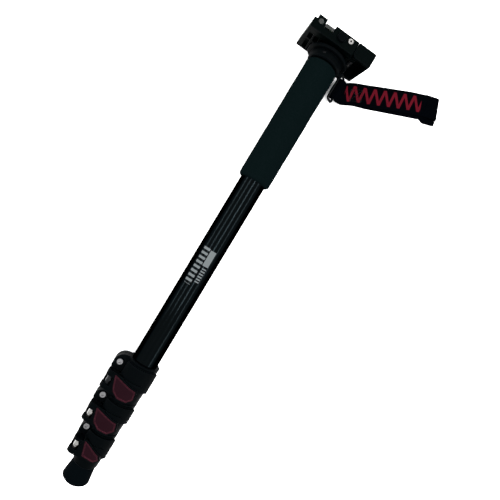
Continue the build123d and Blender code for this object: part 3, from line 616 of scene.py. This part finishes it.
def smooth_loop(knots: np.ndarray, count: int) -> tuple[np.ndarray, np.ndarray]:
    """Runs a closed Catmull-Rom curve through the knots and spaces its points evenly.

    Each span is the cubic whose ends are two neighbouring knots and whose slopes are half the way between
    the knots on either side.

    Args:
        knots: the knots by two.
        count: how many points to return.

    Returns:
        The points by two, and the unit normals on their left, by two.
    """
    before, start = np.roll(knots, 1, 0), knots
    end, after = np.roll(knots, -1, 0), np.roll(knots, -2, 0)
    share = np.linspace(0, 1, 40, endpoint=False)[:, None, None]
    dense = 0.5 * (
        2 * start
        + (end - before) * share
        + (2 * before - 5 * start + 4 * end - after) * share**2
        + (3 * start - before - 3 * end + after) * share**3
    )
    dense = dense.transpose(1, 0, 2).reshape(-1, 2)
    dense = np.vstack([dense, dense[:1]])
    reach = np.concatenate([[0], np.cumsum(np.linalg.norm(np.diff(dense, axis=0), axis=1))])
    places = np.linspace(0, reach[-1], count, endpoint=False)
    points = np.stack([np.interp(places, reach, dense[:, axis]) for axis in (0, 1)], axis=1)
    slope = np.roll(points, -1, 0) - np.roll(points, 1, 0)
    slope /= np.linalg.norm(slope, axis=1, keepdims=True)
    return points, np.stack([-slope[:, 1], slope[:, 0]], axis=1)


@dataclass
class WristStrap:
    """The doubled webbing that hangs from the wire ring and lies along the surface.

    Its lengths are in millimetres and its angles in degrees.
    """

    ring_x: float = -40.3
    bar_y: float = -27.9
    bar_z: float = -8.0
    length: float = 127.0
    turn_reaches: tuple[float, ...] = (0.0, 5.0, 9.0, 14.0, 22.0, 30.0)
    turn_degrees: tuple[float, ...] = (4.0, 28.0, 40.0, 40.0, 32.4, 23.2)
    floor_z: float = -23.0
    floor_gap: float = 0.15
    layer_gap: float = 0.25
    width: float = 24.6
    thickness: float = 1.4
    eyelet: float = 2.3
    loop_rise: float = 6.2
    upper_slips: tuple[tuple[float, ...], ...] = (
        (14.0, 32.0, 92.0, 112.0, 127.0),
        (1.6, 1.2, 4.0, 3.6, 0.8),
    )
    lower_slips: tuple[tuple[float, ...], ...] = (
        (14.0, 40.0, 107.0, 111.0, 127.0),
        (1.6, 0.0, 0.0, -3.6, -5.0),
    )
    pieces: list[bpy.types.Object] = field(default_factory=list)

    def plan(self, reach: np.ndarray) -> tuple[np.ndarray, np.ndarray]:
        """Places a reach along the band on its plan: its heading is added up step by step along the band.

        Where it goes round the bar the weave is sheared: it heads aside while its rows stay along the bar.

        Args:
            reach: millimetres along the band from the ring's bar.

        Returns:
            The points by two, and the unit direction across the band at each, by two.
        """
        step = 0.25
        steps = np.arange(0, self.length + 20, step)
        heading = np.radians(np.interp(steps, self.turn_reaches, self.turn_degrees))
        x = self.ring_x + np.concatenate([[0], np.cumsum(np.sin(heading[:-1]) * step)])
        y = self.bar_y - np.concatenate([[0], np.cumsum(np.cos(heading[:-1]) * step)])
        back = np.minimum(reach, 0)
        rows = np.radians(np.interp(reach, (3.0, 17.0), (0.0, self.turn_degrees[-1])))
        place = np.stack([np.interp(reach, steps, x), np.interp(reach, steps, y) - back], -1)
        return place, np.stack([np.cos(rows), np.sin(rows)], -1)

    def side(self) -> np.ndarray:
        """Lists the knots of the band's middle line seen from the side, round its whole closed loop.

        Returns:
            Knots by two: reach along the plan, and height.
        """
        half = self.thickness / 2
        low = self.floor_z + self.floor_gap + half
        top = low + self.thickness + self.layer_gap
        end = self.length - self.thickness
        over = self.floor_z + self.loop_rise - half
        bar_z, eyelet = self.bar_z, self.eyelet
        upper = [
            (0.6, bar_z + eyelet), (2.6, bar_z + 1.0), (5.5, bar_z - 2.6), (9.5, bar_z - 7.2),
            (13.5, top + 1.7), (18.5, top + 0.15), (26.0, top), (44.0, top + 0.1), (62.0, top + 0.35),
            (80.0, top + 0.2), (end - 22.0, top + 0.35), (end - 12.0, top + 1.5), (end - 5.0, over - 0.3),
        ]
        fold = [
            (end - 1.2, over), (end + 0.4, over - 1.6), (end + 0.6, (over + low) / 2), (end - 0.2, low + 0.9),
        ]
        lower = [
            (end - 2.6, low), (end - 12.0, low), (70.0, low), (40.0, low), (20.0, low + 0.1),
            (13.2, low + 1.2), (8.4, bar_z - 8.2), (4.4, bar_z - 4.2), (1.6, bar_z - eyelet * 1.05),
        ]
        around = [
            (-eyelet * 1.5, bar_z - eyelet * 0.75),
            (-eyelet * 2.6, bar_z),
            (-eyelet * 1.4, bar_z + eyelet * 0.78),
        ]
        return np.array(upper + fold + lower + around)

    def surface(self, across: np.ndarray, lift: np.ndarray, line: np.ndarray, normal: np.ndarray) -> np.ndarray:
        """Carries points of the band's section along its middle line.

        Args:
            across: millimetres across the band, one column each.
            lift: millimetres off the middle line, one column each.
            line: the middle line, rows by two.
            normal: its normals, rows by two.

        Returns:
            Rows by columns by three, in metres.
        """
        reach = line[:, :1] + normal[:, :1] * lift
        height = line[:, 1:] + normal[:, 1:] * lift
        place, side = self.plan(reach)
        below = np.clip((self.floor_z + 2.4 - height) / 0.8, 0, 1)
        upper, lower = (np.interp(reach, *slips) for slips in (self.upper_slips, self.lower_slips))
        slip = upper + (lower - upper) * below
        gathered = np.interp(reach, (2.5, 14.0), (0.92, 1.0))
        place = place + side * (across * gathered + slip)[..., None]
        return np.concatenate([place, height[..., None]], -1) * MM

    def build(self) -> bpy.types.Object:
        """Makes the band: a section with rounded selvedges carried round the closed middle line.

        Returns:
            The webbing.
        """
        line, normal = smooth_loop(self.side(), 620)
        count = 28
        angle = np.linspace(0, 2 * math.pi, count, endpoint=False)
        bend = np.sign(np.cos(angle)) * np.abs(np.cos(angle)) ** 0.32
        across = (bend * (self.width / 2))[None, :]
        lift = (np.sign(np.sin(angle)) * np.abs(np.sin(angle)) ** 0.5 * (self.thickness / 2))[None, :]
        points = self.surface(across, lift, line, normal)
        run = np.linalg.norm(np.roll(line, -1, 0) - line, axis=1)
        along = np.concatenate([[0], np.cumsum(run)])
        flat = np.concatenate([across[0], across[0, :1]])
        girth = np.where(np.arange(count + 1) > count / 2, -self.width - flat, flat)
        uv = np.stack(np.broadcast_arrays(girth[None, :] / MM_PER_UV, along[:, None] / MM_PER_UV), -1)
        band = grid_mesh("strap_webbing", np.roll(points[:, ::-1], 1, 1), True, True, uv[:, ::-1])
        band.data.materials.append(WEBBING.make())
        self.pieces.append(band)
        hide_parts("wrist_strap")
        self.stitches()
        return band

    def stitches(self) -> bpy.types.Object:
        """Sews the box with a cross that closes the band below the ring: short capsules of thread that
        rise out of the outer face, each a row of rings whose radius is the root of one minus the square.

        Returns:
            The stitching.
        """
        half_box, start, end = 6.5, 20.0, 34.0
        pitch, radius, half_length = 2.6, 0.34, 1.05
        corners = np.array(
            [[-half_box, start], [half_box, start], [half_box, end], [-half_box, end], [-half_box, start],
             [half_box, end], [half_box, start], [-half_box, end]]
        )
        first, last = corners[:-1], corners[1:]
        lengths = np.linalg.norm(last - first, axis=1)
        counts = np.maximum((lengths / pitch).astype(int), 1)
        shares = np.concatenate([(np.arange(n) + 0.5) / n for n in counts])
        owner = np.repeat(np.arange(len(counts)), counts)
        middle = first[owner] + (last - first)[owner] * shares[:, None]
        direction = ((last - first) / lengths[:, None])[owner]
        ring, step = np.meshgrid(
            np.linspace(-1, 1, 9), np.linspace(0, 2 * math.pi, 8, endpoint=False), indexing="ij"
        )
        bulge = np.sqrt(np.clip(1 - ring**2, 0.0004, 1)) * radius
        local_along = ring * half_length
        local_side, local_up = np.cos(step) * bulge, np.sin(step) * bulge * 0.8
        side = np.stack([direction[:, 1], -direction[:, 0]], -1)
        flat = (
            middle[:, None, None, :]
            + direction[:, None, None, :] * local_along[None, ..., None]
            + side[:, None, None, :] * local_side[None, ..., None]
        )
        place, span = self.plan(flat[..., 1])
        top = self.floor_z + self.floor_gap + 2 * self.thickness + self.layer_gap
        height = np.broadcast_to(top + 0.12 + local_up[None], flat.shape[:3])
        spot = place + span * flat[..., :1]
        points = np.concatenate([spot, height[..., None]], -1) * MM
        sewn = join_grids("strap_stitches", points)
        sewn.data.materials.append(THREAD.make())
        self.pieces.append(sewn)
        return sewn

    def hang(self) -> None:
        """Bakes each piece's placement into its mesh."""
        for piece in self.pieces:
            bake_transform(piece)


def join_grids(name: str, grids: np.ndarray) -> bpy.types.Object:
    """Skins many tubes at once, each closed round its columns and capped by its tiny end rings.

    Args:
        name: the piece's name.
        grids: tubes by rows by columns by three, in metres.

    Returns:
        One object that holds them all.
    """
    tubes, rows, columns = grids.shape[:3]
    tube, row, column = np.meshgrid(np.arange(tubes), np.arange(rows - 1), np.arange(columns), indexing="ij")
    base, following = tube * rows * columns, (column + 1) % columns
    faces = np.stack(
        [
            base + row * columns + column,
            base + row * columns + following,
            base + (row + 1) * columns + following,
            base + (row + 1) * columns + column,
        ],
        -1,
    ).reshape(-1, 4)
    starts = np.arange(tubes)[:, None] * rows * columns
    first = starts + np.arange(columns)[::-1]
    last = starts + (rows - 1) * columns + np.arange(columns)
    mesh = bpy.data.meshes.new(name)
    mesh.from_pydata(grids.reshape(-1, 3).tolist(), [], faces.tolist() + first.tolist() + last.tolist())
    mesh.polygons.foreach_set("use_smooth", np.ones(len(mesh.polygons), bool))
    mesh.update()
    made = bpy.data.objects.new(name, mesh)
    bpy.context.scene.collection.objects.link(made)
    return made


@dataclass
class FoamGrip:
    """The foam sleeve that is pushed over the top of the largest tube."""

    node: str = "foam_grip"
    corner: float = 3.6 * MM
    bore: float = 14.05 * MM
    wave_height: float = 0.1 * MM

    def build(self) -> bpy.types.Object:
        """Turns a closed outline about the tube's axis: a bore, two ends, and an outside whose corners are
        quarter rounds and whose radius waves by a tenth of a millimetre, as cut foam does.

        Returns:
            The grip.
        """
        low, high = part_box(self.node)
        start, end, radius = low.x, high.x, (high.z - low.z) / 2
        quarter = np.linspace(0, math.pi / 2, 12)
        run = np.linspace(start + self.corner, end - self.corner, 90)[1:-1]
        bore = np.linspace(end, start, 60)
        x = np.concatenate(
            [
                start + self.corner * (1 - np.cos(quarter)),
                run,
                end - self.corner * (1 - np.sin(quarter)),
                bore,
            ]
        )
        r = np.concatenate(
            [
                radius - self.corner * (1 - np.sin(quarter)),
                np.full(run.size, radius),
                radius - self.corner * (1 - np.cos(quarter)),
                np.full(bore.size, self.bore),
            ]
        )
        angle = np.linspace(0, 2 * math.pi, 96, endpoint=False)
        wave = self.wave_height * (np.sin(x[:, None] * 210 + 2 * angle) + np.sin(x[:, None] * 90 - 3 * angle + 1))
        outside = (r > self.bore + 0.5 * MM)[:, None]
        turned = r[:, None] + np.where(outside, wave * 0.5 - 0.06 * MM, 0)
        points = np.stack(
            [np.broadcast_to(x[:, None], turned.shape), turned * np.sin(angle), turned * np.cos(angle)], -1
        )
        grip = grid_mesh("grip_foam", points, True, True)
        grip.data.materials.append(GRIP_FOAM.make())
        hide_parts(self.node)
        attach(grip, "upper_section")
        return grip


@dataclass
class LevelVials:
    """The spirit, bubble and two gauge lines inside each level vial."""

    wall: float = 0.45 * MM
    line_half: float = 1.5 * MM

    def barrel(self, name: str, node: str, shrink: float, share: tuple[float, float]) -> bpy.types.Object:
        """Lathes a closed barrel inside the vial, whose radius falls off at both ends as a superellipse.

        Args:
            name: the piece's name.
            node: the vial's node.
            shrink: how far its side lies inside the vial's.
            share: where it starts and ends along the vial, as shares of the vial's length.

        Returns:
            The barrel.
        """
        low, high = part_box(node)
        size = np.array(high - low)
        main = int(np.argmax(size))
        others = [axis for axis in range(3) if axis != main]
        middle = (np.array(low) + np.array(high)) / 2
        radius = size[others].min() / 2 - shrink
        t = np.linspace(-1, 1, 25)[:, None]
        angle = np.linspace(0, 2 * math.pi, 32, endpoint=False)[None, :]
        bulge = radius * np.clip(1 - np.abs(t) ** 8, 1e-4, 1) ** 0.5
        start, end = low[main] + size[main] * share[0], low[main] + size[main] * share[1]
        points = np.empty((25, 32, 3))
        points[..., main] = (start + end) / 2 + t * (end - start) / 2
        points[..., others[0]] = middle[others[0]] + bulge * np.cos(angle)
        points[..., others[1]] = middle[others[1]] + bulge * np.sin(angle)
        if main == 1:
            points = points[:, ::-1]
        return join_grids(name, points[None])

    def build(self) -> list[bpy.types.Object]:
        """Fills both vials.

        Returns:
            The pieces made.
        """
        made = []
        for node in ("level_vial_long", "level_vial_end"):
            spirit = self.barrel(node + "_spirit", node, self.wall, (0.06, 0.94))
            spirit.data.materials.append(VIAL_SPIRIT.make())
            made.append(spirit)
            low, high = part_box(node)
            size = np.array(high - low)
            main = int(np.argmax(size))
            middle = (np.array(low) + np.array(high)) / 2
            reach = size[[axis for axis in range(3) if axis != main]].min() / 2
            u = np.linspace(0, math.pi, 17)[:, None]
            v = np.linspace(0, 2 * math.pi, 24, endpoint=False)[None, :]
            up = np.array([0, 0, reach * 0.42]) if main != 2 else np.array([0, 0, size[2] * 0.2])
            along = np.zeros(3)
            along[main if main != 2 else 1] = 1
            cross = np.cross([0, 0, 1], along)
            bubble = (
                middle
                + up
                + np.cos(u)[..., None] * along * reach * 0.62
                + (np.sin(u) * np.cos(v))[..., None] * cross * reach * 0.46
                + (np.sin(u) * np.sin(v))[..., None] * np.array([0, 0, reach * 0.5])
            )
            air = join_grids(node + "_bubble", bubble[None])
            air.data.materials.append(BUBBLE_AIR.make())
            made.append(air)
            made.append(self.gauge_lines(node, middle, main, reach))
        for piece in made:
            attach(piece, "upper_section")
        return made

    def gauge_lines(self, node: str, middle: np.ndarray, main: int, reach: float) -> bpy.types.Object:
        """Rings the vial with its two gauge lines: a small circle carried round a large one, twice.

        Args:
            node: the vial's node.
            middle: the vial's middle.
            main: the axis along the vial.
            reach: the vial's radius.

        Returns:
            The two lines as one piece.
        """
        wire = 0.16 * MM
        offset = np.array([-1.0, 1.0]) * self.line_half * 0.8
        large = np.linspace(0, 2 * math.pi, 41)[None, :, None]
        small = np.linspace(0, 2 * math.pi, 6, endpoint=False)[None, None, :]
        others = [axis for axis in range(3) if axis != main]
        radius = reach + wire * 0.4 + wire * np.cos(small)
        shape = (2, 41, 6)
        points = np.empty((*shape, 3))
        points[..., main] = middle[main] + offset[:, None, None] + np.broadcast_to(wire * np.sin(small), shape)
        points[..., others[0]] = middle[others[0]] + np.broadcast_to(radius * np.cos(large), shape)
        points[..., others[1]] = middle[others[1]] + np.broadcast_to(radius * np.sin(large), shape)
        rings = join_grids(node + "_gauge_lines", points)
        rings.data.materials.append(BLACK_STEEL.make())
        return rings


def press_spring(spring: bpy.types.Object) -> None:
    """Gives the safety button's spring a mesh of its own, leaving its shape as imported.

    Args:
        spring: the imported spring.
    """
    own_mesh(spring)


@dataclass
class Dressing:
    """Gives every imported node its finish, by the record's material slots and by name where they differ."""

    nodes: dict[str, bpy.types.Object]
    slots: dict[str, str]

    def dress(self) -> None:
        """Assigns one material to each node and shares those that are alike."""
        made = {name: finish.make() for name, finish in SLOT_FINISHES.items()}
        dull = DULL_STEEL.make()
        own = {"upper_tube": TUBE.make(), "strap_ring": COATED_WIRE.make()}
        # Painted shade: these steel parts lie in shade, so they wear the dark black steel finish
        painted_shade_steel = ("lock_1_barrel", "lock_1_cam_bolt", "release_pin", "release_spring")
        own.update({name: made["black_steel"] for name in painted_shade_steel})
        own.update({f"lock_{number}_clamp_screw": dull for number in (1, 2, 3)})
        for name, node in self.nodes.items():
            material = own.get(name) or made[self.slots.get(name, "black_plastic")]
            node.data.materials.clear()
            node.data.materials.append(material)
            LOG.info("%s wears %s", name, material.name)


@dataclass
class Studio:
    """The pale floor, the lights and the camera at the photograph's place."""

    floor_z: float = -23.1 * MM
    eye: tuple[float, float, float] = (-237.62 * MM, 33.6 * MM, 420.24 * MM)
    right: tuple[float, float, float] = (0.5154, -0.8456, 0.1391)
    back: tuple[float, float, float] = (-0.0033, 0.1604, 0.9871)
    focal_px: float = 400.0
    photo_px: float = 500.0
    sensor_mm: float = 36.0
    dome: float = 2.0
    strip_reach: float = 1.25
    strip_width: float = 0.05
    strips: tuple[tuple[str, float, float, float, float], ...] = (
        ("strip_right", 9.3, 16.0, -0.05, 1.1),
        ("strip_left", -28.9, 9.0, -0.05, 1.1),
        ("strip_low_right", 48.1, 11.0, -0.27, 1.6),
        ("strip_low_left", -65.3, 9.0, -0.05, 1.1),
    )

    def camera(self) -> None:
        """Sets the camera by its place and axes; its lens is the focal length in pixels over the width."""
        back = Vector(self.back).normalized()
        right = (Vector(self.right) - back * Vector(self.right).dot(back)).normalized()
        up = back.cross(right)
        turn = Matrix((right, up, back)).transposed().to_4x4()
        data = bpy.data.cameras.new("camera")
        data.sensor_width = self.sensor_mm
        data.lens = self.sensor_mm * self.focal_px / self.photo_px
        data.clip_start, data.clip_end = 0.01, 20.0
        made = bpy.data.objects.new("camera", data)
        bpy.context.scene.collection.objects.link(made)
        made.matrix_world = Matrix.Translation(Vector(self.eye)) @ turn
        bpy.context.scene.camera = made

    def floor(self) -> None:
        """Lays a wide pale sheet under the monopod."""
        side = np.linspace(-4, 4, 9)
        x, y = np.meshgrid(side, side, indexing="ij")
        sheet = grid_mesh("floor", np.stack([x, y, np.full(x.shape, self.floor_z)], -1)[:, ::-1], False, False)
        if sheet.data.polygons[0].normal.z < 0:
            sheet.data.flip_normals()
        sheet.data.materials.append(
            Finish(
                "matt_white_paper", "#ffffff", "#fdfdfd", 0.9, 0.05, pitch=60 * MM, depth=0.001 * MM, edge=0.0
            ).make()
        )

    def lamp(
        self, name: str, place: Sequence[float], aim: Sequence[float], size: tuple[float, float], power: float
    ) -> None:
        """Hangs one soft box.

        Args:
            name: the lamp's name.
            place: where it is.
            aim: the point that it faces.
            size: its width along the tube and its height.
            power: its power in watts.
        """
        data = bpy.data.lights.new(name, "AREA")
        data.shape = "RECTANGLE"
        data.size, data.size_y = size
        data.energy = power
        made = bpy.data.objects.new(name, data)
        bpy.context.scene.collection.objects.link(made)
        made.location = place
        back = (Vector(place) - Vector(aim)).normalized()
        along = Vector((1, 0, 0))
        across = back.cross(along).normalized()
        made.matrix_world = Matrix.Translation(Vector(place)) @ Matrix(
            (across.cross(back), across, back)
        ).transposed().to_4x4()

    def light(self) -> None:
        """Lights everything by an even white dome, and the tube's streaks by long narrow boxes over it."""
        world = bpy.data.worlds.new("studio")
        world.use_nodes = True
        tree = world.node_tree
        tree.nodes.clear()
        glow = add_node(tree, "Background", {"Color": linear("#ffffff"), "Strength": self.dome})
        add_node(tree, "OutputWorld", {"Surface": glow.outputs[0]})
        bpy.context.scene.world = world
        bpy.context.scene.view_settings.view_transform = "Standard"
        for name, angle, power, middle, length in self.strips:
            tilt = math.radians(angle)
            place = (middle, -self.strip_reach * math.sin(tilt), self.strip_reach * math.cos(tilt))
            self.lamp(name, place, (middle, 0.0, 0.0), (length, self.strip_width), power)


def main() -> None:
    """Builds the camera, the soft pieces, the small clear pieces, and the finishes, in that order."""
    logging.basicConfig(level=logging.INFO, format="%(message)s")
    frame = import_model()
    studio = Studio()
    studio.camera()
    strap = WristStrap()
    LOG.info("made %s", strap.build().name)
    strap.hang()
    LOG.info("made %s", FoamGrip().build().name)
    for piece in LevelVials().build():
        LOG.info("made %s", piece.name)
    press_spring(frame["nodes"]["button_spring"])
    slots = {part["node"]: part["material_slot"] for part in frame["record"]["subparts"]}
    Dressing(frame["nodes"], slots).dress()
    studio.floor()
    studio.light()
    bpy.context.view_layer.update()


if __name__ == "__main__":
    main()
